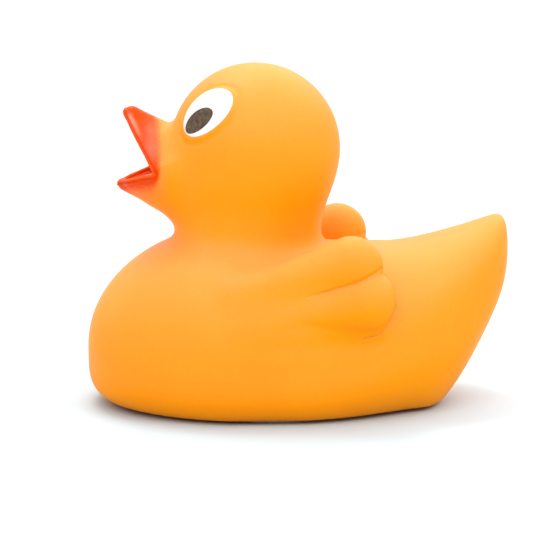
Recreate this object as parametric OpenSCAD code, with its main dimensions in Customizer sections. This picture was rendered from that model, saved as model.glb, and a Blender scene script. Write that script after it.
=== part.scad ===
// Floating duck that doses pool water with slow-dissolving tablets.
// The soft duck is an air-filled float. A rigid chamber in its belly opens through the flat base
// and takes a basket of tablets on a quick-thread cap with an adjustable flow ring.
// Millimetres, +Z up, beak towards -X. The origin is on the chamber's axis in the foot plane.

/* [Duck float] */
// Overall length of the duck, breast to tail tip
duck_l = 160; // [150:1:175]
// Largest half width of the body without the wings
body_half_w = 50.5; // [50:0.5:53]
// Height of the back behind the wings
back_z = 60.4; // [60:0.2:63]
// Wall thickness of the soft shell
wall = 2.4; // [2:0.1:2.6]
// Radius of the head
head_r = 32.1; // [31:0.1:33.5]
// Gap between the soft base and the surface the foot ring stands on
base_gap = 0.4; // [0.2:0.1:0.6]

/* [Eyes] */
// Half length of the white oval
eye_a = 11.35; // [10:0.05:12]
// Half width of the white oval
eye_b = 8.55; // [7.5:0.05:9.5]
// Half length of the pupil
pupil_a = 6.8; // [5:0.1:7]
// Half width of the pupil
pupil_b = 4.15; // [3.5:0.05:5]

/* [Tablet chamber] */
// Inner radius of the chamber
chamber_r = 31.6; // [31.4:0.1:32]
// Wall thickness of the chamber
chamber_wall = 2.4; // [2:0.1:2.6]
// Height of the chamber's inner ceiling above the foot plane
chamber_h = 44; // [42:0.5:46]
// Outer radius of the foot ring
foot_r = 40; // [39:0.5:40.5]

/* [Tablets] */
// Tablet diameter
tablet_d = 25.4; // [22:0.1:25.4]
// Tablet height
tablet_h = 17; // [15:1:20]
// Number of tablets in the basket
tablet_n = 3; // [1:1:3]

/* [Quick thread] */
// Travel of the cap in one full turn
thread_lead = 36; // [30:1:40]
// Number of thread starts
thread_starts = 4; // [3:1:4]

/* [Flow ring] */
// Number of flow windows
window_n = 4; // [4]
// Opening angle of one flow window
window_deg = 40; // [30:1:41]

/* [Hidden] */

vinyl = [1.0, 0.66, 0.16];
fine = 96;                       // facets of every true round part

// Duck body: side and plan curves as functions of x
k = duck_l / 160;
breast_x = -70.3 * k;            // front of the breast
tail_x = 89.8 * k;               // tip of the tail
breast_z = 21;                   // height of the furthest point of the breast
tail_z = 59;                     // height of the furthest point of the tail
keel_z = -7;                     // the hull curve runs below the base and is cut flat there
crown_x = -15 * k;               // where the breast curve reaches its top under the neck
crown_z = 67.5;
wide_x = 8;                      // station of the largest width
stern_x = 93 * k;                // where the plan curve would come to a point
close_x = 80 * k;                // where the tail starts to close

function smooth(t) = let (c = min(1, max(0, t))) c * c * (3 - 2 * c);
function top_z(x) = crown_z + (back_z - crown_z) * smooth((x - crown_x) / 40) + 10 * pow(max(0, x - 45 * k) / 38, 1.45);
function low_z(x) = keel_z + 2 * smooth((x - 10) / 50) + 0.272 * pow(max(0, x - 59 * k), 1.53);
function mid_z(x) = 24 - (24 - breast_z) * smooth((-40 - x) / 30)
    + (tail_z - 24) * pow(max(0, x - 25) / (tail_x - 25), 1.7);
function half_w(x) = body_half_w * pow(1 - pow(max(0, x - wide_x) / (stern_x - wide_x), 1.6), 1 / 1.7);
// What is left of the section as the breast and the tail close
function open_share(x) = max(0.0001, 1 - pow(max(0, crown_x - x) / (crown_x - breast_x), 1.6)
    - pow(max(0, x - close_x) / (tail_x - close_x), 6));

plan_power = 2.3;                // how square the section is across
upper_power = 2.2;               // how square it is above its widest line
function lower_power(x) = 4.2 - 2 * smooth((x - 5) / 50);   // and below it
function signed_pow(v, p) = sign(v) * pow(abs(v), p);
function ring_point(x, a, inset) =
    let (up = sin(a) >= 0, p = up ? upper_power : lower_power(x), share = open_share(x),
         w = max(0.3, half_w(x) * pow(share, 1 / plan_power) - inset),
         h = max(0.3, (up ? top_z(x) - mid_z(x) : mid_z(x) - low_z(x)) * pow(share, 1 / p) - inset))
    [x, w * signed_pow(cos(a), 2 / plan_power), mid_z(x) + h * signed_pow(sin(a), 2 / p)];

// Stations crowd towards both ends, where the hull closes quickly
function station(i, n, inset) =
    let (a = breast_x + inset, b = tail_x - inset) (a + b) / 2 - (b - a) / 2 * cos(180 * (i + 0.35) / (n - 0.3));

module hull_loft(inset, stations, around) {
    rings = [for (i = [0:stations - 1]) let (x = station(i, stations, inset))
             for (j = [0:around - 1]) ring_point(x, 360 * j / around, inset)];
    sides = [for (i = [0:stations - 2]) for (j = [0:around - 1])
             let (a = i * around + j, b = i * around + (j + 1) % around)
             each [[a, b + around, b], [a, a + around, b + around]]];
    front = [for (j = [0:around - 1]) j];
    rear = [for (j = [around - 1:-1:0]) (stations - 1) * around + j];
    polyhedron(concat(rings), concat([front], sides, [rear]), convexity = 6);
}

// Head, neck and jaw
head_c = [-6.4, 0, 97];         // centre of the head
neck_x = -9;                    // axis of the neck
neck_low_r = 26;                // neck radius inside the body
neck_top_r = 29;                // and inside the head
jaw_root = [-20, 0, 86];
jaw_root_r = 21;
jaw_tip = [-34, 0, 87];
jaw_tip_r = 14;

module head_form(inset, facets) {
    translate(head_c) sphere(head_r - inset, $fn = facets);
    translate([neck_x, 0, 50]) cylinder(h = 36, r1 = neck_low_r - inset, r2 = neck_top_r - inset, $fn = facets);
    hull() {
        translate(jaw_tip) sphere(jaw_tip_r - inset, $fn = 24);
        translate(jaw_root) sphere(jaw_root_r - inset, $fn = 28);
    }
}

// Wings: two feather lobes on each flank, sunk in the flank at the front and standing proud at the back
feather_tip_r = 11.6;
feather_root_r = 5;

module feather(root, tip, flat) {
    hull() {
        translate(root) scale([1, flat, 1]) sphere(feather_root_r, $fn = 20);
        translate(tip) scale([1, flat, 1]) sphere(feather_tip_r, $fn = 28);
    }
}

module wing() {
    feather([-14, -38.5, 44], [27.8, -42, 58], 0.85);
    feather([-12, -41.5, 35], [32, -43.5, 47], 0.95);
}

// Base opening: the soft wall is stepped up around a hole that snaps into the chamber's groove
step_r = foot_r + 0.4;           // radius of the recess for the foot ring
step_z = 3.4;                    // height of the recess's roof
hole_r = 35.4;                   // hole in the soft wall

// Bill: two open shovels moulded in one with the head. Each half is [height of its hinge line,
// direction out along its rim, direction square into it], the directions as [x, z]
hinge_x = -43.7;
upper_half = [87.2, [-0.486, 0.874], [0.874, 0.486]];
lower_half = [89.6, [-0.959, -0.285], [0.285, -0.959]];
lip_r = 1.5;                     // rounding of the lips
bill_tip_r = 2.4;                // rounding of both tips
mouth_depth = 1.3;               // depth of the mouth's hollow behind the lips
throat_x = -44.7;                // where the vent hole opens in it
vent_z = 92;
vent_r = 1.6;

// A ball of radius r that lies "deep" behind the rim, "out" along it, and y to the side
module rim_ball(half, out, y, deep, r) {
    translate([hinge_x + out * half[1][0] + deep * half[2][0], y, half[0] + out * half[1][1] + deep * half[2][1]])
        sphere(r, $fn = 16);
}

// The hull of balls along the rim; places are [out, y] for one side
module shovel(half, places, tip_out) {
    hull() {
        for (place = places) for (side = [-1, 1]) rim_ball(half, place[0], side * place[1], lip_r, lip_r);
        rim_ball(half, tip_out, 0, bill_tip_r, bill_tip_r);
        children();
    }
}

module bill() {
    difference() {
        union() {
            shovel(upper_half, [[1, 13], [12, 10.8], [20, 6]], 24.3)
                for (y = [-8, 8]) translate([-38, y, 104.5]) sphere(4, $fn = 16);
            shovel(lower_half, [[0.5, 13], [4, 12], [9, 9]], 13.8)
                translate([-37, 0, 78]) sphere(7, $fn = 16);
        }
        hull() for (place = [[20, 1], [12, 7.6], [2, 10.3]]) for (side = [-1, 1])
            rim_ball(upper_half, place[0], side * place[1], 0, mouth_depth);
        hull() for (place = [[11, 2], [6, 7.4], [1, 10.3]]) for (side = [-1, 1])
            rim_ball(lower_half, place[0], side * place[1], 0, mouth_depth);
    }
}

module float_shell() {
    color(vinyl)
    difference() {
        union() {
            intersection() {
                hull_loft(0, 28, 36);
                translate([-100, -80, base_gap]) cube([200, 160, 120]);
            }
            head_form(0, 36);
            bill();
            wing();
            mirror([0, 1, 0]) wing();
        }
        difference() {
            union() {
                intersection() {
                    hull_loft(wall, 18, 20);
                    translate([-100, -80, base_gap + wall]) cube([200, 160, 120]);
                }
                difference() {
                    head_form(wall, 24);
                    translate([-75, -20, 75]) cube([75 + throat_x + 6, 40, 45]);
                }
            }
            cylinder(h = step_z + wall, r = step_r + wall, $fn = 64);
        }
        translate([0, 0, -1]) cylinder(h = step_z + 1, r = step_r, $fn = 64);
        translate([0, 0, -1]) cylinder(h = 12, r = hole_r, $fn = 64);
        translate([-60, 0, vent_z]) rotate([0, 90, 0]) cylinder(h = 30, r = elbow_r + 0.1, $fn = 24);
    }
}

// Eyes: printed pads that lie on the head, left at -Y
eye_turn = 228.3;                // direction of the eye about Z
eye_lift = 29.7;                 // and above the horizon
eye_roll = 133.2;                // turn of the oval about its own axis
pupil_at = [-4, -1.5, 0];        // pupil centre along the oval's long and short axes
pupil_roll = -8;                 // turn of the pupil against the oval
eye_film = 0.5;                  // how far the white stands proud
pupil_film = 0.3;                // and the pupil beyond it

module oval_prism(a, b, at, roll) {
    translate(head_c) rotate([0, 90 - eye_lift, eye_turn]) rotate([0, 0, eye_roll]) translate(at)
        rotate([0, 0, roll]) scale([a, b, 1]) cylinder(h = head_r + 5, r = 1, $fn = 48);
}

module head_layer(low, high) {
    difference() {
        translate(head_c) sphere(head_r + high, $fn = fine);
        translate(head_c) sphere(head_r + low, $fn = fine);
    }
}

module eye_white() {
    color("white") intersection() {
        head_layer(0.05, eye_film);
        oval_prism(eye_a, eye_b, [0, 0, 0], 0);
    }
}

module pupil() {
    color([0.16, 0.12, 0.09]) intersection() {
        head_layer(eye_film, eye_film + pupil_film);
        oval_prism(pupil_a, pupil_b, pupil_at, pupil_roll);
    }
}

module eye_white_left() { eye_white(); }
module eye_white_right() { mirror([0, 1, 0]) eye_white(); }
module pupil_left() { pupil(); }
module pupil_right() { mirror([0, 1, 0]) pupil(); }

// Rings and sectors used by the rigid parts
module ring(r_in, r_out, z0, z1) {
    difference() {
        translate([0, 0, z0]) cylinder(h = z1 - z0, r = r_out, $fn = fine);
        translate([0, 0, z0 - 1]) cylinder(h = z1 - z0 + 2, r = r_in, $fn = fine);
    }
}

module sector(r_in, r_out, z0, z1, a0, a1) {
    rotate([0, 0, a0]) translate([0, 0, z0])
        rotate_extrude(angle = a1 - a0, $fn = fine) translate([r_in, 0]) square([r_out - r_in, z1 - z0]);
}

// One helical rib of the quick thread; its top face rises with the lead
module helix_rib(r_in, r_out, top_start, thick, span) {
    steps = ceil(span / 4);
    rise = thread_lead / 360;
    points = [for (i = [0:steps]) let (a = span * i / steps, z = top_start + rise * a)
              each [[r_in * cos(a), r_in * sin(a), z - thick], [r_out * cos(a), r_out * sin(a), z - thick],
                    [r_out * cos(a), r_out * sin(a), z], [r_in * cos(a), r_in * sin(a), z]]];
    sides = [for (i = [0:steps - 1]) for (j = [0:3])
             let (a = 4 * i + j, b = 4 * i + (j + 1) % 4) each [[a, b, a + 4], [b, b + 4, a + 4]]];
    polyhedron(points, concat([[3, 2, 1, 0]], sides, [[for (j = [0:3]) 4 * steps + j]]), convexity = 4);
}

// Chamber
outer_r = chamber_r + chamber_wall;
neck_r = 35;                     // in the groove that the soft wall snaps into
foot_t = 2.6;                    // thickness of the foot ring
snap_r = 37.6;                   // snap lip above the soft wall
snap_z = 6.0;
mouth_r = 33.6;                  // counterbore for the cap's rim
mouth_h = 4.6;
rib_crest_r = chamber_r - 1.7;
rib_top_z = 7.2;                 // top of each chamber rib at its low end
rib_t = 2.2;
rib_span = 50;
nipple_x = -16;                  // vent nipple on the chamber's roof
nipple_r = 2.2;
guide_w = 2.6;                   // ribs that keep the basket from turning
guide_n = 3;

module chamber() {
    color("whitesmoke") {
        difference() {
            union() {
                cylinder(h = foot_t, r = foot_r, $fn = fine);
                cylinder(h = snap_z, r = neck_r, $fn = fine);
                translate([0, 0, snap_z]) cylinder(h = 1.2, r = snap_r, $fn = fine);
                translate([0, 0, snap_z + 1.2]) cylinder(h = 1.4, r1 = snap_r, r2 = outer_r, $fn = fine);
                cylinder(h = chamber_h + chamber_wall, r = outer_r, $fn = fine);
                translate([nipple_x, 0, chamber_h]) cylinder(h = chamber_wall + 9, r = nipple_r, $fn = fine);
            }
            translate([0, 0, -1]) cylinder(h = chamber_h + 1, r = chamber_r, $fn = fine);
            translate([0, 0, -1]) cylinder(h = mouth_h + 1, r = mouth_r, $fn = fine);
            translate([nipple_x, 0, chamber_h - 1]) cylinder(h = 20, r = vent_r, $fn = fine);
        }
        for (i = [0:thread_starts - 1]) rotate([0, 0, 360 / thread_starts * i]) {
            helix_rib(rib_crest_r, chamber_r + 0.4, rib_top_z, rib_t, rib_span);
            sector(rib_crest_r, chamber_r + 0.4, rib_top_z + 2.6, rib_top_z + 7.4, rib_span - 0.6, rib_span + 2);
        }
        for (i = [0:guide_n - 1]) rotate([0, 0, 360 / guide_n * i + 60])
            translate([28.2, -guide_w / 2, 22]) cube([chamber_r - 27.8, guide_w, chamber_h - 21.6]);
    }
}

module shell_seal() {
    color("dimgray") ring(neck_r + 0.5, foot_r - 0.4, foot_t, step_z);
}

// Ballast ring in the dry space around the foot of the chamber
module ballast_ring() {
    color("slategray") difference() {
        translate([0, 0, 9]) rotate_extrude($fn = fine)
            polygon([[outer_r + 0.2, 0], [38, 0], [39, 1], [39, 9], [38, 10], [outer_r + 0.2, 10]]);
        for (i = [0:5]) rotate([0, 0, 60 * i + 30]) translate([37.8, 0, 8]) cylinder(h = 12, r = 0.8, $fn = 24);
    }
}

// Vent line: a tube from the chamber's nipple up the neck, and an elbow glued into the throat
elbow_r = 2.6;                   // outside of the elbow's straight end
barb_r = 2.2;
bend_r = 6;                      // centre line of the elbow's bend
tube_r = 3.6;
tube_bore = nipple_r + 0.05;
tube_low_z = chamber_h + chamber_wall + 0.4;
tube_x = nipple_x;

module pipe(r_in, r_out, length) {
    difference() {
        cylinder(h = length, r = r_out, $fn = fine);
        translate([0, 0, -1]) cylinder(h = length + 2, r = r_in, $fn = fine);
    }
}

module vent_tube() {
    color("lightgray") translate([tube_x, 0, tube_low_z]) pipe(tube_bore, tube_r, vent_z - bend_r - tube_low_z - 0.3);
}

module vent_elbow() {
    color("whitesmoke") {
        translate([tube_x, 0, vent_z - bend_r - 7]) pipe(vent_r, barb_r, 7);
        translate([tube_x - bend_r, 0, vent_z - bend_r]) rotate([90, 0, 0])
            rotate_extrude(angle = 90, $fn = fine) translate([bend_r, 0]) difference() {
                circle(elbow_r, $fn = fine);
                circle(vent_r, $fn = fine);
            }
        translate([tube_x - bend_r, 0, vent_z]) rotate([0, -90, 0])
            pipe(vent_r, elbow_r, tube_x - bend_r - throat_x - 0.5);
    }
}

// Basket
basket_r = chamber_r - 2.1;
basket_in = basket_r - 1.7;
basket_z = 15.7;                 // underside of its floor
basket_floor = 1.6;
basket_top = 41.5;
tablet_lift = 2.4;               // height of the ribs that the tablets lie on
post_r = 4;                      // snap post of the cap that carries the basket

module basket() {
    color("lightgray") difference() {
        union() {
            translate([0, 0, basket_z]) cylinder(h = basket_floor, r = basket_r, $fn = fine);
            ring(basket_in, basket_r, basket_z, basket_top);
        }
        translate([0, 0, basket_z - 1]) cylinder(h = 4, r = post_r + 0.15, $fn = fine);
        for (i = [0:5]) sector(9, 13, basket_z - 1, basket_z + 3, 60 * i + 6, 60 * i + 54);
        for (i = [0:5]) sector(16, 25, basket_z - 1, basket_z + 3, 60 * i + 8, 60 * i + 52);
        for (i = [0:11]) rotate([0, 0, 30 * i + 15]) translate([basket_in - 1, -2.5, basket_z + 4])
            cube([4, 5, 18]);
        for (i = [0:guide_n - 1]) rotate([0, 0, 360 / guide_n * i + 60])
            translate([basket_in - 1, -guide_w / 2 - 0.4, basket_z + 4]) cube([4, guide_w + 0.8, 30]);
    }
    color("lightgray") for (i = [0:5]) rotate([0, 0, 60 * i])
        translate([8, -0.8, basket_z + basket_floor - 0.2]) cube([19, 1.6, tablet_lift + 0.2]);
}

module tablet() {
    edge = 1.5;
    rotate_extrude($fn = fine)
        polygon([[0, 0], [tablet_d / 2 - edge, 0], [tablet_d / 2, edge],
                 [tablet_d / 2, tablet_h - edge], [tablet_d / 2 - edge, tablet_h], [0, tablet_h]]);
}

module tablets() {
    color("white") for (i = [0:tablet_n - 1]) rotate([0, 0, 120 * i])
        translate([tablet_d / sqrt(3) + 0.15, 0, basket_z + basket_floor + tablet_lift]) tablet();
}

// Cap
cap_rim_r = mouth_r - 0.4;
cap_low_z = 1;
cap_rim_t = 1.8;
skirt_r = chamber_r - 2.2;
skirt_in = skirt_r - 2.2;
floor_z = 13;                    // underside of the cap's floor
floor_t = 2.5;
hub_r = 11.6;                    // hub that the flow ring turns on
hub_z = 8;
window_in = 14;
window_out = 23.4;
lug_span = 24;
bar_t = 5;                       // grip bar
tether_r = 1.75;
tether_z = 4.8;
stop_at = 150;                   // angle of the flow ring's stop
tab_at = 155;                    // angle of the flow ring's thumb tab, and of the widest dot

module base_cap() {
    color("steelblue") {
        difference() {
            union() {
                translate([0, 0, cap_low_z]) cylinder(h = cap_rim_t, r = cap_rim_r, $fn = fine);
                translate([0, 0, cap_low_z]) cylinder(h = floor_z + floor_t - cap_low_z, r = skirt_r, $fn = fine);
                translate([0, 0, floor_z]) cylinder(h = 5.8, r = post_r, $fn = fine);
                translate([0, 0, basket_z + basket_floor + 0.3]) cylinder(h = 1.2, r1 = post_r + 0.7, r2 = post_r,
                                                                          $fn = fine);
            }
            ring(hub_r, skirt_in, 0, floor_z);
            translate([0, 0, -1]) cylinder(h = hub_z + 1, r = hub_r + 1, $fn = fine);
            ring(hub_r - 1.3, hub_r + 1, 8.95, 10.15);
            for (i = [0:window_n - 1])
                sector(window_in, window_out, floor_z - 1, floor_z + 4, 360 / window_n * i,
                       360 / window_n * i + window_deg);
        }
        difference() {
            intersection() {
                translate([-11, -bar_t / 2, 1.6]) cube([22, bar_t, hub_z - 1.5]);
                translate([0, 0, 1]) cylinder(h = 10, r = 11.2, $fn = fine);
            }
            translate([0, -5, tether_z]) rotate([-90, 0, 0]) cylinder(h = 10, r = tether_r, $fn = fine);
        }
        sector(25.3, skirt_in + 0.3, 10.4, floor_z + 0.2, stop_at - 4, stop_at + 4);
        for (i = [0:thread_starts - 1]) rotate([0, 0, 360 / thread_starts * i + 24])
            helix_rib(skirt_r - 0.4, chamber_r - 0.35, rib_top_z + thread_lead * 24 / 360 + 2.15, 2, lug_span);
        for (i = [0:3]) rotate([0, 0, tab_at + 15 * i]) translate([30.8, 0, 0.5])
            cylinder(h = 0.7, r = 1.5 - 0.3 * i, $fn = 24);
    }
}

module cap_o_ring() {
    color("black") translate([0, 0, cap_low_z + cap_rim_t + 0.86])
        rotate_extrude($fn = fine) translate([32.2, 0]) circle(0.85, $fn = 32);
}

module flow_ring() {
    z0 = 10.6;
    z1 = 12.8;
    color("orange") {
        difference() {
            ring(hub_r + 0.1, skirt_in - 0.3, z0, z1);
            for (i = [0:window_n - 1])
                sector(window_in, window_out, z0 - 1, z1 + 1, 360 / window_n * i, 360 / window_n * i + window_deg);
            sector(25, skirt_in + 1, z0 - 1, z1 + 1, stop_at - 4.6 - 45, stop_at + 4.6);
        }
        rotate([0, 0, tab_at]) translate([15.5, -2.5, 4.6]) cube([8.5, 5, z0 - 4.5]);
    }
}

module friction_washer() {
    color("silver") ring(hub_r + 0.1, 14.6, 10.18, 10.58);
}

module retaining_ring() {
    color("silver") difference() {
        ring(hub_r - 1.2, 14.2, 9.05, 10.1);
        sector(5, 20, 8, 11, 246, 294);
        for (a = [240, 300]) rotate([0, 0, a]) translate([12.6, 0, 8]) cylinder(h = 3, r = 0.7, $fn = 24);
    }
}

float_shell();
eye_white_left();
eye_white_right();
pupil_left();
pupil_right();
chamber();
shell_seal();
ballast_ring();
vent_tube();
vent_elbow();
basket();
tablets();
base_cap();
cap_o_ring();
flow_ring();
friction_washer();
retaining_ring();
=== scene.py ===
"""Looks for the floating duck dispenser: the soft skin, the painted eyes and bill, and every material."""
import math
import bmesh
import bpy
import numpy as np
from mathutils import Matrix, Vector

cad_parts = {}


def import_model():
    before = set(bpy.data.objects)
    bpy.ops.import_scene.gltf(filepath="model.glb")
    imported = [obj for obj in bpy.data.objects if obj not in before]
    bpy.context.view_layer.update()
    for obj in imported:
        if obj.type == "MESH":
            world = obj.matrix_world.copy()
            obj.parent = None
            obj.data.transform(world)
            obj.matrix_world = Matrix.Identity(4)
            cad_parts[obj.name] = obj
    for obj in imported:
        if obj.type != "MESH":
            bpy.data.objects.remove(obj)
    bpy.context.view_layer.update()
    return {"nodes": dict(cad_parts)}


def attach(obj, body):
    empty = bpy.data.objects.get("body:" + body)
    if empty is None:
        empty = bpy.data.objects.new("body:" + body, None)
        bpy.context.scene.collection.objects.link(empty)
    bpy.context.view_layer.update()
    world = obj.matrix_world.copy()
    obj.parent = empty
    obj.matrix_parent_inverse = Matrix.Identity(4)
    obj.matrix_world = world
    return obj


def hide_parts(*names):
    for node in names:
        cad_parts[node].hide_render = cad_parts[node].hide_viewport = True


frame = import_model()
MM = 0.001


# ---------------------------------------------------------------- signed distances, in millimetres
def smooth_step(t):
    t = np.clip(t, 0.0, 1.0)
    return t * t * (3.0 - 2.0 * t)


def ramp(t, soft):
    """0 below 0 and t above it, with a soft corner."""
    return 0.5 * (t + np.sqrt(t * t + soft * soft))


def smooth_min(a, b, r):
    """Union of two solids with a fillet. r is how far apart the two surfaces still pull on each other."""
    h = np.clip(0.5 + 0.5 * (b - a) / r, 0.0, 1.0)
    return b * (1.0 - h) + a * h - r * h * (1.0 - h)


def smooth_max(a, b, r):
    """What two solids share, with its edge rounded the same way."""
    return -smooth_min(-a, -b, r)


def length(*parts):
    return np.sqrt(sum(part * part for part in parts))


def folded(p):
    """The same places on the +Y side, where the bill, the wing and the eye are described."""
    return p[0], np.abs(p[1]), p[2]


def ball(p, centre, r):
    """Every solid takes p, which holds the X, Y and Z of many places, and gives their distances to it."""
    return length(*[p[i] - centre[i] for i in range(3)]) - r


def round_cone(p, a, b, r_a, r_b, flat=1.0):
    """Solid swept by a ball that goes from a to b while its radius changes. flat thins it along Y."""
    a, b = np.array(a, float), np.array(b, float)
    squeeze = np.array([1.0, 1.0 / flat, 1.0])
    axis = (b - a) * squeeze
    span = np.linalg.norm(axis)
    axis /= span
    rel = [(p[i] - a[i]) * squeeze[i] for i in range(3)]
    along = sum(rel[i] * axis[i] for i in range(3))
    off = length(*[rel[i] - along * axis[i] for i in range(3)])
    slope = (r_b - r_a) / span
    t = np.clip(along + off * slope / math.sqrt(1.0 - slope * slope), 0.0, span)
    return length(along - t, off) - (r_a + slope * t)


def disc(p, r, low, high):
    """Upright cylinder about the Z axis."""
    return np.maximum(length(p[0], p[1]) - r, np.maximum(low - p[2], p[2] - high))


def as_distance(shape, p):
    """Divides an implicit shape by its slope, so that its value near the surface is a distance."""
    here = shape(p)
    nudge = 0.02
    least_slope = 0.005
    slopes = []
    for axis in range(3):
        q = list(p)
        q[axis] = q[axis] + nudge
        slopes.append((shape(q) - here) / nudge)
    return here / np.maximum(length(*slopes), least_slope)


# ---------------------------------------------------------------- the body
BREAST_X, TAIL_X = -70.3, 89.8   # the two ends of the hull
CROWN_X, CROWN_Z = -15.0, 67.5   # its top, inside the neck
BACK_X, BACK_Z = 25.0, 60.4      # the lowest part of the back
RISE_X, RISE_RUN, TAIL_RISE = 45.0, 38.0, 10.0   # where the back starts to rise, how far on, and by how much
KEEL_Z = -7.0                    # lowest line of the hull before the base is cut flat
LIFT_X = 57.5                    # where the keel starts to lift under the tail
BREAST_Z, FLANK_Z, TAIL_Z = 21.0, 24.0, 59.0     # heights of the widest line, from front to back
WIDE_X, STERN_X = 8.0, 93.0      # the widest place, and where the two sides would meet
HALF_W = 50.5
TAIL_END_X = 80.0                # where the tail starts to close
BASE_Z = 0.4                     # height of the flat base


def top_z(x):
    """Height of the back, before the ends close."""
    rise = TAIL_RISE * (np.maximum(x - RISE_X, 0.0) / RISE_RUN) ** 1.45
    return CROWN_Z + (BACK_Z - CROWN_Z) * smooth_step((x - CROWN_X) / (BACK_X - CROWN_X)) + rise


def low_z(x):
    """Height of the keel, which runs below the base, rises a little amidships and lifts under the tail."""
    return KEEL_Z + 2.0 * smooth_step((x - 10.0) / 50.0) + 0.272 * np.maximum(x - LIFT_X, 0.0) ** 1.51


def mid_z(x):
    """Height of the widest line."""
    front = FLANK_Z - (FLANK_Z - BREAST_Z) * smooth_step((-40.0 - x) / 30.0)
    return front + (TAIL_Z - FLANK_Z) * np.clip((x - BACK_X) / (TAIL_X - BACK_X), 0.0, 1.1) ** 1.7


def half_width(x):
    """Half the width at the widest line."""
    taper = np.clip((x - WIDE_X) / (STERN_X - WIDE_X), 0.0, 0.99) ** 1.6
    return HALF_W * (1.0 - taper) ** (1.0 / 1.7)


def hull(p):
    """Above 0 outside the hull. Terms of their own close the breast and the tail, so both ends are round.

    A higher power makes a section squarer: the lower flank is square at the breast and rounder at the tail.
    """
    x, y, z = p
    middle = mid_z(x)
    above = z > middle
    height = np.where(above, top_z(x) - middle, middle - low_z(x))
    power = np.where(above, 2.2, 4.2 - 1.6 * smooth_step((x - 5.0) / 50.0))
    section = (np.abs(y) / half_width(x)) ** 2.3 + (np.abs(z - middle) / height) ** power
    breast = (np.maximum(CROWN_X - x, 0.0) / (CROWN_X - BREAST_X)) ** 1.6
    tail = (np.maximum(x - TAIL_END_X, 0.0) / (TAIL_X - TAIL_END_X)) ** 6
    return section + breast + tail - 1.0


def body(p):
    return smooth_max(as_distance(hull, p), BASE_Z - p[2], 3.0)


# ---------------------------------------------------------------- head and bill
HEAD = (-6.4, 0.0, 97.0)
HEAD_R = 32.1


def head(p):
    """A round skull on its neck, with a jaw that swells towards the bill."""
    skull = ball(p, HEAD, HEAD_R)
    neck = round_cone(p, (-9.0, 0.0, 50.0), (-8.6, 0.0, 84.0), 26.0, 28.8)
    jaw = round_cone(p, (-20.0, 0.0, 86.0), (-34.0, 0.0, 87.0), 21.0, 14.0)
    return smooth_min(smooth_min(skull, neck, 6.0), jaw, 6.0)


# The bill is two shovels that gape from a hinge line at the back of the mouth. Each lies behind a flat rim:
# "out" is the direction along the rim from the hinge to the tip, and "deep" points into the shovel, square
# to the rim. "tip" is the rim's length. The tip stands square to the rim down to the depth "blunt", and
# from there it falls back by "slant" for each millimetre of depth. A ridge runs from "ridge" to "nose",
# which are places in X and Z. "heel" is how far the shovel goes on behind its hinge, and "hollow" is how
# far the hollow of the mouth goes in behind the rim.
HINGE_X = -43.7
BILL_HALF_W = 14.5
UPPER = {"hinge_z": 87.2, "out": (-0.486, 0.874), "deep": (0.874, 0.486),
         "tip": 27.2, "blunt": 2.7, "slant": 1.15, "heel": 1.0, "hollow": 1.3,
         "nose": (-52.7, 110.0), "nose_r": 3.0, "ridge": (-43.0, 100.6), "ridge_r": 6.2}
LOWER = {"hinge_z": 89.6, "out": (-0.959, -0.285), "deep": (0.285, -0.959),
         "tip": 15.8, "blunt": 3.0, "slant": 0.98, "heel": 9.0, "hollow": 2.0,
         "nose": (-55.6, 83.6), "nose_r": 2.5, "ridge": (-43.5, 82.0), "ridge_r": 6.0}
LIP_T = 1.9
BILL_ROOT_X = -30.0   # the bill ends here, inside the head


def bill_axes(p, half):
    """How far out along a rim a place lies, and how deep behind it."""
    x, z = p[0] - HINGE_X, p[2] - half["hinge_z"]
    return x * half["out"][0] + z * half["out"][1], x * half["deep"][0] + z * half["deep"][1]


def shovel(p, half):
    """The outside of one half of the bill, as if its sides ran on past the rim."""
    def outline(q):
        out, deep = bill_axes(q, half)
        reach = ramp(out + half["slant"] * ramp(deep - half["blunt"], 2.5), 4.0)
        return (np.abs(q[1]) / BILL_HALF_W) ** 1.7 + (reach / half["tip"]) ** 1.7 - 1.0
    return as_distance(outline, p)


def bill(p, half):
    """One half of the bill: a shovel with a rounded ridge. The edge of its rim is rounder at the tip."""
    out, deep = bill_axes(p, half)
    nose, ridge = ((half[end][0], 0.0, half[end][1]) for end in ("nose", "ridge"))
    spine = round_cone(p, nose, ridge, half["nose_r"], half["ridge_r"])
    edge_r = 0.6 + 2.0 * smooth_step((out / half["tip"] - 0.6) / 0.3)
    shell = smooth_max(shovel(p, half), -deep, edge_r)
    shell = smooth_max(shell, -out - half["heel"], 5.0)
    return np.maximum(smooth_min(shell, spine, 2.5), p[0] - BILL_ROOT_X)


def gape(p):
    """Below 0 in the open wedge between the two rims."""
    return np.maximum(bill_axes(p, UPPER)[1], bill_axes(p, LOWER)[1])


def scoop(p):
    """Below 0 in the hollow of the mouth, inside the lips."""
    up, down = bill_axes(p, UPPER)[1], bill_axes(p, LOWER)[1]
    inner = np.where(down < up, shovel(p, UPPER), shovel(p, LOWER)) + LIP_T
    return smooth_max(inner, np.maximum(up - UPPER["hollow"], down - LOWER["hollow"]), 1.4)


def lip_relief(p):
    """Height of the flat band around the open bill, and of the fine ridge along its back edge."""
    behind = gape(p)
    band = 0.15 * smooth_step((2.4 - behind) / 0.6) + 0.28 * np.exp(-((behind - 2.0) / 0.45) ** 2)
    return band * smooth_step((-41.6 - p[0]) / 1.6)


# ---------------------------------------------------------------- wings and eye pads
def wing(p):
    """Two feather lobes that rise out of the flank towards the back."""
    upper = round_cone(p, (-14.0, 40.0, 47.0), (27.4, 42.0, 58.0), 5.5, 11.6, 0.85)
    lower = round_cone(p, (-12.0, 41.5, 35.0), (31.6, 43.5, 46.2), 5.0, 12.0, 0.95)
    return smooth_min(upper, lower, 0.8 + 7.0 * smooth_step((30.0 - p[0]) / 32.0))


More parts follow.
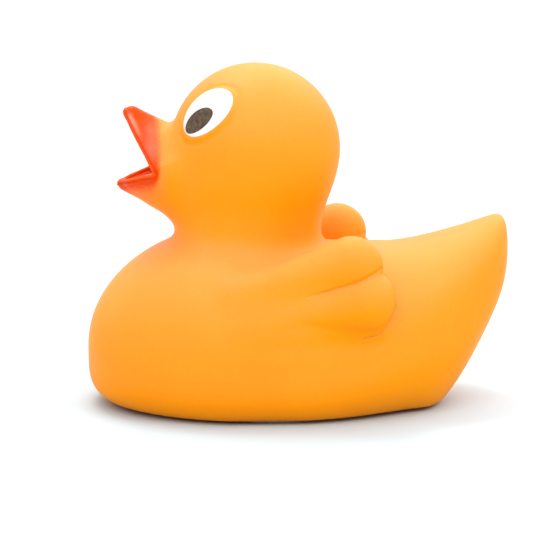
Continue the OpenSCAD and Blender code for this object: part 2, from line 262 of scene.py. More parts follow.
# Sharp lines moulded into each wing, as places in X and Z: between the lobes, and behind the lower lobe
FEATHER_LINE = ((9.0, 48.0), (18.1, 50.6), (29.3, 54.2), (37.6, 58.2))
HOOK_LINE = ((43.6, 43.8), (41.2, 38.2), (37.4, 33.6), (31.5, 32.6))


def line_gap(p, line):
    """Distance in side view to a line of straight pieces."""
    gap = None
    for (x0, z0), (x1, z1) in zip(line, line[1:]):
        run_x, run_z = x1 - x0, z1 - z0
        share = np.clip(((p[0] - x0) * run_x + (p[2] - z0) * run_z) / (run_x ** 2 + run_z ** 2), 0.0, 1.0)
        here = length(p[0] - x0 - share * run_x, p[2] - z0 - share * run_z)
        gap = here if gap is None else np.minimum(gap, here)
    return gap


def wing_lines(p):
    """Depth of the moulded lines."""
    between = 0.6 * np.exp(-(line_gap(p, FEATHER_LINE) / 0.55) ** 2) * smooth_step((p[0] - 8.0) / 10.0)
    behind = 0.4 * np.exp(-(line_gap(p, HOOK_LINE) / 0.45) ** 2)
    return (between + behind) * smooth_step((p[1] - 30.0) / 5.0)


# The eye's direction from the head's centre, the roll of its oval about that direction, and its half sizes
EYE_TURN, EYE_LIFT, EYE_ROLL = math.radians(131.7), math.radians(29.7), math.radians(-133.2)
EYE_A, EYE_B = 11.35, 8.55


def eye_frame():
    """Direction from the head's centre to the eye at +Y, and the long and short axes of its oval."""
    out = np.array([math.cos(EYE_LIFT) * math.cos(EYE_TURN), math.cos(EYE_LIFT) * math.sin(EYE_TURN),
                    math.sin(EYE_LIFT)])
    down = np.array([math.sin(EYE_LIFT) * math.cos(EYE_TURN), math.sin(EYE_LIFT) * math.sin(EYE_TURN),
                     -math.cos(EYE_LIFT)])
    side = np.cross(out, down)
    long_axis = math.cos(EYE_ROLL) * down + math.sin(EYE_ROLL) * side
    return out, long_axis, np.cross(out, long_axis)


EYE_OUT, EYE_LONG, EYE_SHORT = eye_frame()


def eye_relief(p):
    """The raised pad under an eye, with a shallow groove around it."""
    rel = [p[i] - HEAD[i] for i in range(3)]
    along, across, up = (sum(rel[i] * axis[i] for i in range(3)) for axis in (EYE_LONG, EYE_SHORT, EYE_OUT))
    edge = length((along + 0.5) / (EYE_A + 1.3), across / (EYE_B + 1.2))
    pad = 0.75 * smooth_step((1.06 - edge) / 0.12) - 0.22 * np.exp(-((edge - 1.1) / 0.06) ** 2)
    return np.where(up > 0, pad, 0.0)


# ---------------------------------------------------------------- the whole soft duck
WALL = 2.4                       # thickness of the vinyl
STEP_R, STEP_Z = 40.4, 3.4       # recess in the base for the chamber's foot ring
HOLE_R, HOLE_Z = 35.4, 12.0      # hole in the base for the chamber, cut well past the wall
THROAT_Z, THROAT_R = 92.0, 2.7   # bore from the mouth into the head, for the vent elbow
BELOW_Z = -5.0                   # where the cuts start, clear below the base


def outside(p):
    """Signed distance to the outside of the whole duck, before the base and the throat are opened.

    "cheek" is the soft fillet at the sides of the upper bill, and "root" is 1 along the front and the lower
    edge of the wing, where it runs softly into the flank.
    """
    p = folded(p)
    soft = smooth_min(body(p), head(p), 6.0)
    cheek = 3.0 + 4.0 * smooth_step(p[1] / 9.0)
    soft = smooth_min(smooth_min(soft, bill(p, LOWER), 6.0), bill(p, UPPER), cheek)
    root = np.maximum(smooth_step((24.0 - p[0]) / 34.0), smooth_step((42.0 - p[2]) / 9.0))
    soft = smooth_min(soft, wing(p), 2.0 + 5.0 * root) + wing_lines(p)
    soft = smooth_max(soft - lip_relief(p), -gape(p), 1.3)
    soft = smooth_max(soft, -scoop(p), 0.9)
    return soft - eye_relief(p)


def inside(p):
    """Below 0 in the air space behind the wall. The bill is solid."""
    p = folded(p)
    air = smooth_min(body(p), np.maximum(head(p), -38.5 - p[0] - WALL), 5.0) + WALL
    return np.maximum(air, -disc(p, STEP_R + WALL, BELOW_Z, STEP_Z + WALL))


def duck(p):
    """Signed distance to the vinyl itself: a wall around the air, open at the base and at the throat.
    """
    skin = outside(p)
    skin = np.maximum(skin, -inside(p))
    skin = smooth_max(skin, -disc(p, STEP_R, BELOW_Z, STEP_Z), 0.5)
    skin = smooth_max(skin, -disc(p, HOLE_R, BELOW_Z, HOLE_Z), 0.5)
    throat = np.maximum(length(p[1], p[2] - THROAT_Z) - THROAT_R, p[0] - BILL_ROOT_X)
    return smooth_max(skin, -throat, 0.4)


# ---------------------------------------------------------------- from distance to mesh
def surface_net(field, origin, step):
    """One point in every cell that the surface passes through, and one quad across every crossed edge."""
    inside_it = field < 0.0
    cells = tuple(n - 1 for n in field.shape)
    total = np.zeros((cells[0] * cells[1] * cells[2], 3))
    count = np.zeros(len(total))
    rings = []
    # Each edge of the grid that crosses the surface adds its crossing to the four cells around it
    for axis in range(3):
        low = tuple(slice(0, n - 1) if i == axis else slice(1, n - 1) for i, n in enumerate(field.shape))
        high = tuple(slice(1, n) if i == axis else slice(1, n - 1) for i, n in enumerate(field.shape))
        edge = np.argwhere(inside_it[low] != inside_it[high])
        edge = edge + [0 if i == axis else 1 for i in range(3)]
        end = edge + [1 if i == axis else 0 for i in range(3)]
        a, b = field[tuple(edge.T)], field[tuple(end.T)]
        point = edge.astype(float)
        point[:, axis] += a / (a - b)
        u, v = (axis + 1) % 3, (axis + 2) % 3
        ring = []
        for du, dv in ((0, 0), (-1, 0), (-1, -1), (0, -1)):
            cell = edge.copy()
            cell[:, u] += du
            cell[:, v] += dv
            flat = np.ravel_multi_index(tuple(cell.T), cells)
            for i in range(3):
                total[:, i] += np.bincount(flat, point[:, i], len(total))
            count += np.bincount(flat, minlength=len(total))
            ring.append(flat)
        ring = np.stack(ring, 1)
        ring[a < 0] = ring[a < 0][:, ::-1]
        rings.append(ring)
    # A cell's point is the mean of its crossings
    used = np.flatnonzero(count)
    number = np.full(len(total), -1)
    number[used] = np.arange(len(used))
    points = origin + step * total[used] / count[used, None]
    return points, number[np.concatenate(rings)]


def slope_of(distance, points):
    """The distance at each point, and its slope along X, Y and Z."""
    p = list(points.T)
    here = distance(p)
    nudge = 0.01
    slope = np.zeros_like(points)
    for axis in range(3):
        q = list(p)
        q[axis] = q[axis] + nudge
        slope[:, axis] = (distance(q) - here) / nudge
    return here, slope


def settle(points, distance):
    """Moves points onto the exact surface, along the slope of the distance."""
    for _ in range(3):
        here, slope = slope_of(distance, points)
        size = np.maximum((slope ** 2).sum(1), 0.05)
        points = points - np.clip(here / size, -1.0, 1.0)[:, None] * slope
    return points


def add_object(name, data):
    obj = bpy.data.objects.new(name, data)
    bpy.context.scene.collection.objects.link(obj)
    return obj


def shade_smooth(mesh):
    mesh.polygons.foreach_set("use_smooth", [True] * len(mesh.polygons))


def mesh_object(name, points, faces):
    """A smooth object that rides on the body root, from points in millimetres."""
    mesh = bpy.data.meshes.new(name)
    mesh.from_pydata((np.asarray(points) * MM).tolist(), [], faces)
    shade_smooth(mesh)
    obj = add_object(name, mesh)
    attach(obj, "root")
    return obj


def get_points(mesh):
    flat = np.empty(len(mesh.vertices) * 3)
    mesh.vertices.foreach_get("co", flat)
    return flat.reshape(-1, 3) / MM


# Limits of the zones with a finer mesh
OUTER_SKIN = -0.5 * WALL   # points above this distance are on the outside of the wall
BILL_LOW_Z = 74.0          # just below the bill
WING_Y = 36.0              # inboard of the wing's relief


def fine_zone(points):
    """True at the bill, around the eyes and on the wings, where the body's mesh is too coarse."""
    x, y, z = folded(points.T)
    rel = np.stack([x, y, z], 1) - np.array(HEAD)
    near_eye = (rel @ EYE_OUT > 22.0) & (length(rel @ EYE_LONG, rel @ EYE_SHORT) < EYE_A + 5.0)
    near_wing = (x > 2.0) & (x < 48.0) & (y > WING_Y) & (z > 28.0)
    near_bill = (x < -40.0) & (z > BILL_LOW_Z)
    return (near_eye | near_wing | near_bill) & (outside(points.T) > OUTER_SKIN)


def finest_zone(points):
    """True along the moulded lines of the wings and the lips."""
    p = folded(points.T)
    on_line = np.minimum(line_gap(p, FEATHER_LINE), line_gap(p, HOOK_LINE)) < 1.6
    on_lip = (np.abs(gape(p) - 1.2) < 1.8) & (p[0] < -41.0) & (p[2] > BILL_LOW_Z)
    return ((on_line & (p[1] > WING_Y)) | on_lip) & (outside(p) > OUTER_SKIN)


def refine(obj, zone):
    """Cuts every face of a zone in four, and settles the points on the surface."""
    work = bmesh.new()
    work.from_mesh(obj.data)
    chosen = zone(get_points(obj.data))
    edges = [edge for edge in work.edges if chosen[edge.verts[0].index] and chosen[edge.verts[1].index]]
    bmesh.ops.subdivide_edges(work, edges=edges, cuts=1, use_grid_fill=True)
    work.to_mesh(obj.data)
    work.free()
    points = settle(get_points(obj.data), duck)
    obj.data.vertices.foreach_set("co", (points * MM).ravel())


def build_skin(step):
    """Samples the +Y half on a grid, mirrors it, and turns it into a mesh with finer zones."""
    low, high = np.array([-73.0, 0.0, -1.0]), np.array([93.0, 60.0, 133.0])
    counts = np.ceil((high - low) / step).astype(int)
    axes = [(low[i] + step * np.arange(counts[i])).astype(np.float32) for i in range(3)]
    grid = np.meshgrid(*axes, indexing="ij")
    half = duck(grid)
    field = np.concatenate([half[:, :0:-1], half], axis=1)
    origin = low - [0.0, step * (counts[1] - 1), 0.0]
    points, faces = surface_net(field, origin, step)
    obj = mesh_object("duck_skin", settle(points, duck), faces.tolist())
    refine(obj, fine_zone)
    refine(obj, finest_zone)
    shade_smooth(obj.data)
    return obj


# The back edge of the sprayed paint on the bill, as places in X and Z
PAINT_EDGE = ((-47.0, 74.0), (-45.5, 78.0), (-43.8, 84.0), (-42.2, 89.0), (-42.6, 98.0), (-43.0, 108.0))


def paint_mask(points):
    """1 on the sprayed bill. The spray has a soft edge, and it thins out under the lower half."""
    x, z = points[:, 0], points[:, 2]
    edge_x = np.interp(z, [place[1] for place in PAINT_EDGE], [place[0] for place in PAINT_EDGE])
    soft = 1.0 + 2.4 * smooth_step((86.0 - z) / 8.0) + 1.2 * smooth_step((z - 89.0) / 8.0)
    thin = 1.0 - 0.8 * smooth_step((bill_axes(points.T, LOWER)[1] - 2.2) / 6.0)
    return smooth_step((edge_x - x) / (2.0 * soft) + 0.5) * smooth_step((z - 70.0) / 4.0) * thin


def haze_mask(points):
    """The faint overspray behind the edge of the paint."""
    x, z = points[:, 0], points[:, 2]
    return smooth_step((-37.0 - x) / 7.0) * smooth_step((z - 76.0) / 8.0) * smooth_step((108.0 - z) / 8.0)


def before_corner(x):
    """1 on the bill, and 0 behind the corners of the mouth."""
    return smooth_step((-41.5 - x) / 1.5)


def lip_crease_painted_shade_mask(points):
    """The painted shade: a dark line in the crease between the flat band of the lips and the fine ridge
    behind it.
    """
    p = folded(points.T)
    line = np.exp(-((gape(p) - 1.35) / 0.4) ** 2)
    return line * before_corner(p[0]) * smooth_step((p[2] - BILL_LOW_Z) / 4.0)


def rim_painted_highlight_mask(points):
    """1 on the flat band of the lips, which is painted a brighter red as a painted highlight."""
    p = folded(points.T)
    return smooth_step((1.3 - np.abs(gape(p))) / 0.6) * before_corner(p[0])


def mouth_painted_light_mask(points):
    """1 inside the mouth, where a paler, pinker colour is painted in as light to lift the shade of the
    hollow.
    """
    p = folded(points.T)
    return smooth_step((1.2 - np.abs(scoop(p))) / 1.0) * smooth_step((-0.3 - gape(p)) / 0.8)


def painted_sheen_mask(points):
    """A painted sheen: 1 on surfaces that face up, which are painted paler, and 0 on those that face down,
    which are painted deeper orange.
    """
    slope = slope_of(outside, points)[1]
    return np.clip((slope[:, 2] / length(*slope.T) + 0.28) / 1.1, 0.0, 1.0)


def gloss_and_painted_highlight_mask(points):
    """Where the bill has a shiny coat and a painted pinkish highlight: a run beside the upper lip, and a
    weaker band near the spray's edge.
    """
    out, deep = bill_axes(points.T, UPPER)
    run = np.exp(-((deep - 2.5) / 0.9) ** 2)
    run = run * smooth_step((out - 13.0) / 8.0) * smooth_step((26.5 - out) / 2.0)
    x, z = points[:, 0], points[:, 2]
    glossy_painted_highlight = np.exp(-((x + 45.4) / 2.6) ** 2) * smooth_step((z - 91.0) / 8.0) * smooth_step((110.0 - z) / 6.0)
    return run + 0.55 * glossy_painted_highlight


def add_attribute(obj, name, values):
    layer = obj.data.attributes.new(name, "FLOAT", "POINT")
    layer.data.foreach_set("value", np.asarray(values, np.float32))


SKIN_STEP, QUICK_STEP = 1.35, 1.7
# Some of these masks place painted light and shade: the sheen on surfaces that face up, the highlights on the
# bill, the light in the mouth and the shade behind the lips
MASKS = {"paint": paint_mask, "haze": haze_mask, "lip": lip_crease_painted_shade_mask, "gloss_and_painted_highlight": gloss_and_painted_highlight_mask,
         "rim": rim_painted_highlight_mask, "mouth": mouth_painted_light_mask, "painted_top_sheen": painted_sheen_mask}

skin = build_skin(SKIN_STEP)
for layer, mask in MASKS.items():
    add_attribute(skin, layer, mask(get_points(skin.data)))
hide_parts("float_shell")


# ---------------------------------------------------------------- painted eyes
# The pupil's centre, half sizes and roll, measured from the oval of the white
PUPIL_AT = (-4.0, 1.5)
PUPIL_A, PUPIL_B = 6.8, 4.15
PUPIL_ROLL = math.radians(8.0)
WHITE_LIFT, PUPIL_LIFT, EDGE_DIP = 0.12, 0.2, -0.15   # heights of the films over the eye pad


def eye_film(name, side, centre, size, roll, lift):
    """An oval film of paint that lies on the eye pad. Its edge dips into the vinyl."""
    rings, spokes = 14, 96
    edge_spread = 1.006
    angle = 2.0 * math.pi * np.arange(spokes) / spokes
    c, s = math.cos(roll), math.sin(roll)
    on_head = np.array(HEAD) + HEAD_R * EYE_OUT
    points, lifts = [], []
    for ring in range(1, rings + 1):
        share = min(1.0, ring / (rings - 1.0))
        u, v = size[0] * share * np.cos(angle), size[1] * share * np.sin(angle)
        if ring == rings:
            u, v = u * edge_spread, v * edge_spread
        u, v = centre[0] + c * u - s * v, centre[1] + s * u + c * v
        points.append(on_head + u[:, None] * EYE_LONG + v[:, None] * EYE_SHORT)
        lifts.append(np.full(spokes, EDGE_DIP if ring == rings else lift))
    middle = on_head + centre[0] * EYE_LONG + centre[1] * EYE_SHORT
    points = np.concatenate([middle[None]] + points)
    lifts = np.concatenate([[lift]] + lifts)
    # Slide every point along the eye's direction until it lies at its height over the pad
    for _ in range(12):
        points = points - np.clip(outside(list(points.T)) - lifts, -3.0, 3.0)[:, None] * EYE_OUT
    points[:, 1] *= side
    faces = [(0, 1 + i, 1 + (i + 1) % spokes) for i in range(spokes)]
    for ring in range(rings - 1):
        for i in range(spokes):
            a, b = 1 + ring * spokes + i, 1 + ring * spokes + (i + 1) % spokes
            faces.append((a, a + spokes, b + spokes, b))
    if side < 0:
        faces = [face[::-1] for face in faces]
    return mesh_object(name, points, faces)


eyes = []
for word, side in (("left", -1), ("right", 1)):
    white = eye_film("eye_white_paint_" + word, side, (0.0, 0.0), (EYE_A, EYE_B), 0.0, WHITE_LIFT)
    pupil = eye_film("pupil_paint_" + word, side, PUPIL_AT, (PUPIL_A, PUPIL_B), PUPIL_ROLL, PUPIL_LIFT)
    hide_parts("eye_white_" + word)
    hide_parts("pupil_" + word)
    eyes.append((white, pupil))


# ---------------------------------------------------------------- materials
class Look:
    """A procedural material under construction: its Principled shader and short ways to feed it."""

    def __init__(self, name, **inputs):
        self.mat = bpy.data.materials.new(name)
        self.mat.use_nodes = True
        self.nodes, self.links = self.mat.node_tree.nodes, self.mat.node_tree.links
        self.shader = self.nodes["Principled BSDF"]
        self.place = self.nodes.new("ShaderNodeTexCoord").outputs["Object"]
        self.bumps = None
        for key, value in inputs.items():
            self.shader.inputs[key.replace("_", " ")].default_value = value

    def noise(self, scale, detail=2.0, rough=0.5, stretch=None):
        """Noise with scale counted in waves per metre."""
        node = self.nodes.new("ShaderNodeTexNoise")
        node.inputs["Scale"].default_value = scale
        node.inputs["Detail"].default_value = detail
        node.inputs["Roughness"].default_value = rough
        place = self.place
        if stretch:
            mapping = self.nodes.new("ShaderNodeMapping")
            mapping.inputs["Scale"].default_value = stretch
            self.links.new(place, mapping.inputs["Vector"])
            place = mapping.outputs["Vector"]
        self.links.new(place, node.inputs["Vector"])
        return node.outputs["Fac"]

    def cells(self, scale):
        """Distance to the nearest of many scattered points, with scale counted in points per metre."""
        node = self.nodes.new("ShaderNodeTexVoronoi")
        node.inputs["Scale"].default_value = scale
        self.links.new(self.place, node.inputs["Vector"])
        return node.outputs["Distance"]

    def edges(self, reach):
        """0 on flat places, and up to 1 within reach (metres) of a sharp edge, whose shading it rounds."""
        bevel = self.nodes.new("ShaderNodeBevel")
        bevel.samples = 4
        bevel.inputs["Radius"].default_value = reach
        dot = self.nodes.new("ShaderNodeVectorMath")
        dot.operation = "DOT_PRODUCT"
        self.links.new(bevel.outputs["Normal"], dot.inputs[0])
        self.links.new(self.nodes.new("ShaderNodeNewGeometry").outputs["Normal"], dot.inputs[1])
        self.bumps = bevel.outputs["Normal"]
        return self.spread(dot.outputs["Value"], 0.995, 0.85)

    def attribute(self, name):
        node = self.nodes.new("ShaderNodeAttribute")
        node.attribute_name = name
        return node.outputs["Fac"]

    def spread(self, value, low, high, out_low=0.0, out_high=1.0):
        """Stretches the part of a value between low and high over a new range."""
        node = self.nodes.new("ShaderNodeMapRange")
        for key, number in (("From Min", low), ("From Max", high), ("To Min", out_low), ("To Max", out_high)):
            node.inputs[key].default_value = number
        self.links.new(value, node.inputs["Value"])
        return node.outputs["Result"]

    def maths(self, how, a, b):
        node = self.nodes.new("ShaderNodeMath")
        node.operation = how
        for slot, value in ((0, a), (1, b)):
            if isinstance(value, (int, float)):
                node.inputs[slot].default_value = value
            else:
                self.links.new(value, node.inputs[slot])
        return node.outputs["Value"]

    def mix(self, share, a, b):
        """Mixes two colours, each a tuple or a socket."""
        node = self.nodes.new("ShaderNodeMix")
        node.data_type = "RGBA"
        self.links.new(share, node.inputs["Factor"])
        for slot, value in ((6, a), (7, b)):
            if isinstance(value, tuple):
                node.inputs[slot].default_value = (*value, 1.0)
            else:
                self.links.new(value, node.inputs[slot])
        return node.outputs[2]

    def tint(self, base, colour, mask, share):
        """Lays a colour over a base where the mask is 1, at a share of its full strength."""
        return self.mix(self.maths("MULTIPLY", mask, share), base, colour)

    def feed(self, name, value):
        self.links.new(value, self.shader.inputs[name])

    def bump(self, value, height):
        """Adds relief. height is the depth in metres of a full swing of the value."""
        node = self.nodes.new("ShaderNodeBump")
        node.inputs["Strength"].default_value = 1.0
        node.inputs["Distance"].default_value = height
        self.links.new(value, node.inputs["Height"])
        if self.bumps:
            self.links.new(self.bumps, node.inputs["Normal"])
        self.bumps = node.outputs["Normal"]
        self.links.new(self.bumps, self.shader.inputs["Normal"])


def vinyl():
    """Soft orange vinyl: clouded, finely grained and rarely specked, with red paint sprayed on the bill, and
    painted sheen, highlights and shade laid over both.
    """
    look = Look("duck_vinyl", Subsurface_Weight=0.15, Subsurface_Scale=0.004, Specular_IOR_Level=0.06,
                Coat_Roughness=0.3)
    look.shader.inputs["Subsurface Radius"].default_value = (1.0, 0.4, 0.1)
    # Clouded colour, with a painted sheen: paler where the surface faces up, deeper orange where it faces
    # down
    cloud = look.spread(look.noise(28, 3), 0.3, 0.7)
    painted_top_sheen = look.attribute("painted_top_sheen")
    deep = look.mix(painted_top_sheen, (0.95, 0.28, 0.0), (0.95, 0.27, 0.055))
    base = look.mix(cloud, deep, look.mix(painted_top_sheen, (0.97, 0.31, 0.001), (0.97, 0.3, 0.066)))
    # Fine grain, a few dark specks and the overspray around the bill
    grain = look.spread(look.noise(900, 3, 0.7), 0.35, 0.65)
    base = look.tint(base, (0.93, 0.25, 0.01), grain, 0.3)
    specks = look.spread(look.cells(240), 0.075, 0.03)
    rare = look.spread(look.noise(60, 2), 0.62, 0.66)
    base = look.tint(base, (0.75, 0.16, 0.006), specks, rare)
    base = look.tint(base, (0.93, 0.24, 0.08), look.attribute("haze"), 0.45)
    # The spray's edge breaks up into speckle. "fringe" is 1 where the paint covers half, and 0 at both ends
    paint = look.attribute("paint")
    speckle = look.spread(look.noise(1500, 2, 0.8), 0.35, 0.65, -0.16, 0.16)
    fringe = look.maths("MULTIPLY", look.maths("MULTIPLY", paint, look.maths("SUBTRACT", 1.0, paint)), 4.0)
    paint = look.maths("ADD", paint, look.maths("MULTIPLY", speckle, fringe))
    # Red paint, with painted light and shade on it: a painted highlight on the rim's flat band, a pinkish
    # painted highlight beside the upper lip and near the spray's edge, paler painted light in the mouth and
    # dark painted shade behind the lips
    red = look.mix(look.spread(look.noise(220, 2), 0.35, 0.65), (0.7, 0.048, 0.0), (0.77, 0.06, 0.0))
    # Painted highlight: the flat band of the rim is painted a brighter red
    red = look.mix(look.attribute("rim"), red, (0.86, 0.085, 0.0))
    # Painted highlight: a pinkish tint over the shiny run and the band near the spray's edge
    red = look.tint(red, (0.92, 0.2, 0.12), look.attribute("gloss_and_painted_highlight"), 0.6)
    # Painted light: the hollow of the mouth is painted paler and pinker against its shade
    red = look.tint(red, (1.0, 0.26, 0.12), look.attribute("mouth"), 0.9)
    # Painted shade: a dark red line in the crease behind the lips
    red = look.tint(red, (0.5, 0.03, 0.0), look.attribute("lip"), 0.7)
    look.feed("Base Color", look.mix(look.spread(paint, 0.0, 1.0), base, red))
    # Matt vinyl, smoother paint and a patchy coat on the shiny run
    patchy = look.spread(look.noise(300, 2), 0.3, 0.7, 0.5, 1.0)
    look.feed("Coat Weight", look.maths("MULTIPLY", look.attribute("gloss_and_painted_highlight"), patchy))
    dull = look.spread(look.noise(70, 3), 0.3, 0.7, 0.38, 0.48)
    look.feed("Roughness", look.maths("SUBTRACT", dull, look.spread(paint, 0.0, 1.0, 0.0, 0.18)))
    look.bump(look.noise(520, 3), 0.00005)
    look.bump(look.noise(1700, 2), 0.00002)
    return look.mat


def eye_paint(name, colour, worn):
    """Thin paint with a slightly worn, uneven colour."""
    look = Look(name, Specular_IOR_Level=0.22)
    look.feed("Base Color", look.mix(look.spread(look.noise(600, 3, 0.7), 0.35, 0.65), colour, worn))
    look.feed("Roughness", look.spread(look.noise(300, 2), 0.3, 0.7, 0.26, 0.4))
    look.bump(look.noise(1500, 2), 0.00002)
    return look.mat


def moulded(name, colour, pale, rough=0.42, **inputs):
    """Injection-moulded plastic: eroded mould grain, faint flow clouds, fine scratches and rubbed edges."""
    look = Look(name, Specular_IOR_Level=0.4, **inputs)
    worn = look.edges(0.0005)
    base = look.mix(look.spread(look.noise(35, 3), 0.3, 0.7, 0.0, 0.3), colour, pale)
    scratches = look.spread(look.noise(160, 4, 0.7, (1.0, 9.0, 9.0)), 0.62, 0.7)
    base = look.tint(base, pale, scratches, 0.35)
    rubbed = look.maths("MULTIPLY", worn, look.spread(look.noise(240, 3), 0.35, 0.65, 0.2, 0.9))
    look.feed("Base Color", look.mix(rubbed, base, pale))
    grain = look.spread(look.noise(420, 3), 0.3, 0.7, rough - 0.07, rough + 0.09)
    look.feed("Roughness", look.maths("SUBTRACT", grain, look.maths("MULTIPLY", worn, 0.12)))
    look.bump(look.noise(2600, 2), 0.00003)
    look.bump(scratches, -0.00002)
    return look.mat


def rubber(name):
    """Black moulded rubber with a pale bloom and a matt grain."""
    look = Look(name, Specular_IOR_Level=0.3)
    bloom = look.spread(look.noise(110, 4, 0.65), 0.45, 0.75, 0.0, 0.8)
    look.feed("Base Color", look.mix(bloom, (0.012, 0.012, 0.013), (0.06, 0.06, 0.058)))
    look.feed("Roughness", look.spread(look.noise(260, 3), 0.3, 0.7, 0.52, 0.74))
    look.bump(look.noise(2200, 3), 0.00004)
    return look.mat


def coated_zinc():
    """Cast zinc under a grey coat with an orange-peel skin. The coat is rubbed through along the edges."""
    look = Look("ballast", Specular_IOR_Level=0.45)
    bare = look.maths("MULTIPLY", look.edges(0.0006), look.spread(look.noise(300, 4, 0.7), 0.42, 0.6))
    coat = look.mix(look.spread(look.noise(60, 3), 0.3, 0.7), (0.07, 0.09, 0.105), (0.1, 0.12, 0.14))
    pits = look.spread(look.cells(500), 0.12, 0.04)
    coat = look.tint(coat, (0.03, 0.035, 0.04), pits, 0.5)
    look.feed("Base Color", look.mix(bare, coat, (0.42, 0.43, 0.44)))
    look.feed("Metallic", bare)
    look.feed("Roughness", look.spread(look.noise(420, 3), 0.3, 0.7, 0.36, 0.58))
    look.bump(look.noise(650, 2), 0.00012)
    look.bump(pits, -0.00005)
    return look.mat


def silicone():
    """Milky silicone tube, with a slightly dusty outside."""
    look = Look("vent_tube", Transmission_Weight=0.55, IOR=1.41, Subsurface_Weight=0.2,
                Subsurface_Scale=0.002)
    dust = look.spread(look.noise(180, 4, 0.7), 0.4, 0.75)
    look.feed("Base Color", look.mix(dust, (0.74, 0.79, 0.79), (0.6, 0.62, 0.6)))
    look.feed("Roughness", look.spread(dust, 0.0, 1.0, 0.26, 0.5))
    look.bump(look.noise(900, 2), 0.00002)
    return look.mat


def pressed_powder():
    """Chalky granules pressed into a tablet, crumbled along the edges."""
    look = Look("tablet", Specular_IOR_Level=0.2, Subsurface_Weight=0.1, Subsurface_Scale=0.001)
    crumbled = look.edges(0.0008)
    grains = look.cells(1100)
    base = look.mix(look.spread(grains, 0.1, 0.7), (0.86, 0.875, 0.86), (0.74, 0.76, 0.73))
    flecks = look.spread(look.cells(420), 0.14, 0.07)
    base = look.tint(base, (0.6, 0.68, 0.7), flecks, 0.6)
    look.feed("Base Color", look.tint(base, (0.93, 0.93, 0.91), crumbled, 0.6))
    look.feed("Roughness", look.spread(look.noise(500, 3), 0.3, 0.7, 0.8, 0.97))
    look.bump(grains, 0.0002)
    look.bump(look.maths("MULTIPLY", crumbled, look.noise(700, 4, 0.7)), 0.0004)
    return look.mat


def finish_cad_nodes():
    """Gives every CAD node that stays on show its material. The two seals share one."""
    milky = {"Subsurface_Weight": 0.25, "Subsurface_Scale": 0.002}
    gasket = rubber("seal")
    finishes = {
        "chamber": moulded("chamber", (0.72, 0.72, 0.68), (0.84, 0.84, 0.81), 0.45, **milky),
        "shell_seal": gasket,
        "ballast_ring": coated_zinc(),
        "vent_tube": silicone(),
        "vent_elbow": moulded("vent_elbow", (0.7, 0.7, 0.67), (0.85, 0.85, 0.83), 0.4, **milky),
        "basket": moulded("basket", (0.4, 0.52, 0.58), (0.6, 0.7, 0.74), 0.38, **milky),
        "tablets": pressed_powder(),
        "base_cap": moulded("cap", (0.012, 0.1, 0.3), (0.06, 0.19, 0.42), 0.4),
        "cap_o_ring": gasket,
        "flow_ring": moulded("flow_ring", (0.8, 0.19, 0.01), (0.9, 0.36, 0.08), 0.34),
        "friction_washer": moulded("washer", (0.68, 0.68, 0.65), (0.82, 0.82, 0.8), 0.5),
        "retaining_ring": moulded("snap_ring", (0.02, 0.022, 0.025), (0.1, 0.1, 0.105), 0.42),
    }
    for name, finish in finishes.items():
        for slot in frame["nodes"][name].material_slots:
            slot.link = "OBJECT"
            slot.material = finish


skin.data.materials.append(vinyl())
white_paint = eye_paint("eye_white", (0.84, 0.82, 0.8), (0.78, 0.76, 0.73))
pupil_paint = eye_paint("pupil", (0.045, 0.026, 0.014), (0.12, 0.08, 0.05))
for white, pupil in eyes:
    white.data.materials.append(white_paint)
    pupil.data.materials.append(pupil_paint)
finish_cad_nodes()


# ---------------------------------------------------------------- floor, light and camera
def floor_finish():
    """A grey floor with a painted shadow: darker and bluer in an oval around the duck, the blue set against
    the orange light that the duck throws onto it. It is clear from below.
    """
    look = Look("floor", Roughness=0.8)
    far = look.nodes.new("ShaderNodeVectorMath")
    far.operation = "LENGTH"
    oval = look.nodes.new("ShaderNodeVectorMath")
    oval.operation = "MULTIPLY_ADD"
    oval.inputs[1].default_value = (1.0, 0.75, 1.0)
    oval.inputs[2].default_value = (0.0, 0.025, 0.0)
    look.links.new(look.place, oval.inputs[0])
    look.links.new(oval.outputs["Vector"], far.inputs[0])
    # Painted shadow: darker, bluer grey inside the oval around the duck, plain grey beyond it
    share = look.spread(far.outputs["Value"], 0.05, 0.2)
    look.feed("Base Color", look.mix(share, (0.49, 0.575, 0.615), (0.615, 0.63, 0.635)))
    open_below = look.nodes.new("ShaderNodeMixShader")
    look.links.new(look.nodes.new("ShaderNodeNewGeometry").outputs["Backfacing"], open_below.inputs[0])
    look.links.new(look.shader.outputs[0], open_below.inputs[1])
    look.links.new(look.nodes.new("ShaderNodeBsdfTransparent").outputs[0], open_below.inputs[2])
    look.links.new(open_below.outputs[0], look.nodes["Material Output"].inputs["Surface"])
    return look.mat


FLOOR_HOLE_R, FLOOR_R = 0.0395, 12.0


def floor():
    """A flat round floor, with a hole under the duck for the basket to drop through."""
    mesh = bpy.data.meshes.new("floor")
    spokes = 96
    turns = [2.0 * math.pi * i / spokes for i in range(spokes)]
    rims = [(r, turn) for r in (FLOOR_HOLE_R, FLOOR_R) for turn in turns]
    points = [(r * math.cos(turn), r * math.sin(turn), 0.0) for r, turn in rims]
    pairs = [(i, (i + 1) % spokes) for i in range(spokes)]
    mesh.from_pydata(points, [], [(a, spokes + a, spokes + b, b) for a, b in pairs])
    obj = add_object("floor", mesh)
    mesh.materials.append(floor_finish())


LIGHT_AIM = Vector((0.0, 0.0, 0.06))


def area_light(name, place, size, power):
    data = bpy.data.lights.new(name, "AREA")
    data.shape = "DISK"
    data.size = size
    data.energy = power
    obj = add_object(name, data)
    obj.location = place
    obj.rotation_euler = (LIGHT_AIM - Vector(place)).to_track_quat("-Z", "Y").to_euler()


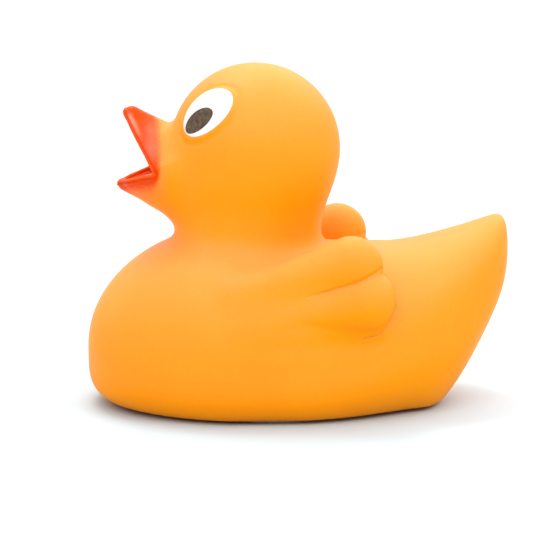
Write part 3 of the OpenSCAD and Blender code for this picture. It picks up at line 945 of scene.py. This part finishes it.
def overhead_light():
    """A very large soft light from above, behind and the tail's side, as even as an overcast sky."""
    data = bpy.data.lights.new("overhead", "SUN")
    data.angle = math.radians(80.0)
    data.energy = 1.5
    obj = add_object("overhead", data)
    obj.rotation_euler = Vector((0.3, 0.6, 1.0)).to_track_quat("Z", "Y").to_euler()


def world():
    """A white room, brightest overhead and a little behind the duck, and dim towards the floor."""
    scene = bpy.context.scene
    scene.world = bpy.data.worlds.new("studio")
    scene.world.use_nodes = True
    shade = scene.world.node_tree.nodes["Background"]
    shade.inputs["Color"].default_value = (1, 1, 1, 1)
    nodes, links = scene.world.node_tree.nodes, scene.world.node_tree.links
    lean = nodes.new("ShaderNodeVectorMath")
    lean.operation = "DOT_PRODUCT"
    lean.inputs[1].default_value = (0.0, 0.2, 0.98)
    links.new(nodes.new("ShaderNodeTexCoord").outputs["Generated"], lean.inputs[0])
    strength = nodes.new("ShaderNodeMapRange")
    strength.interpolation_type = "SMOOTHSTEP"
    for key, number in (("From Min", -0.4), ("From Max", 0.9), ("To Min", 0.3), ("To Max", 1.3)):
        strength.inputs[key].default_value = number
    links.new(lean.outputs["Value"], strength.inputs["Value"])
    links.new(strength.outputs["Result"], shade.inputs["Strength"])
    scene.view_settings.view_transform = "Standard"


CAM_TURN, CAM_LIFT, CAM_FAR = math.radians(-2.0), math.radians(10.0), 0.88
CAM_AIM = Vector((0.0011, 0.0, 0.0481))
CAM_LENS, CAM_SENSOR = 150.9, 36.0   # in millimetres


def camera():
    data = bpy.data.cameras.new("camera")
    data.lens = CAM_LENS
    data.sensor_width = CAM_SENSOR
    obj = add_object("camera", data)
    away = Vector((math.sin(CAM_TURN) * math.cos(CAM_LIFT), -math.cos(CAM_TURN) * math.cos(CAM_LIFT),
                   math.sin(CAM_LIFT)))
    obj.location = CAM_AIM + CAM_FAR * away
    obj.rotation_euler = (-away).to_track_quat("-Z", "Y").to_euler()
    bpy.context.scene.camera = obj


floor()
world()
overhead_light()
area_light("front", (-0.2, -0.75, 0.75), 0.8, 4.1)
area_light("fill", (0.6, -0.55, 0.75), 0.5, 3.0)
area_light("top", (-0.2, 0.3, 0.95), 0.4, 3.2)
camera()
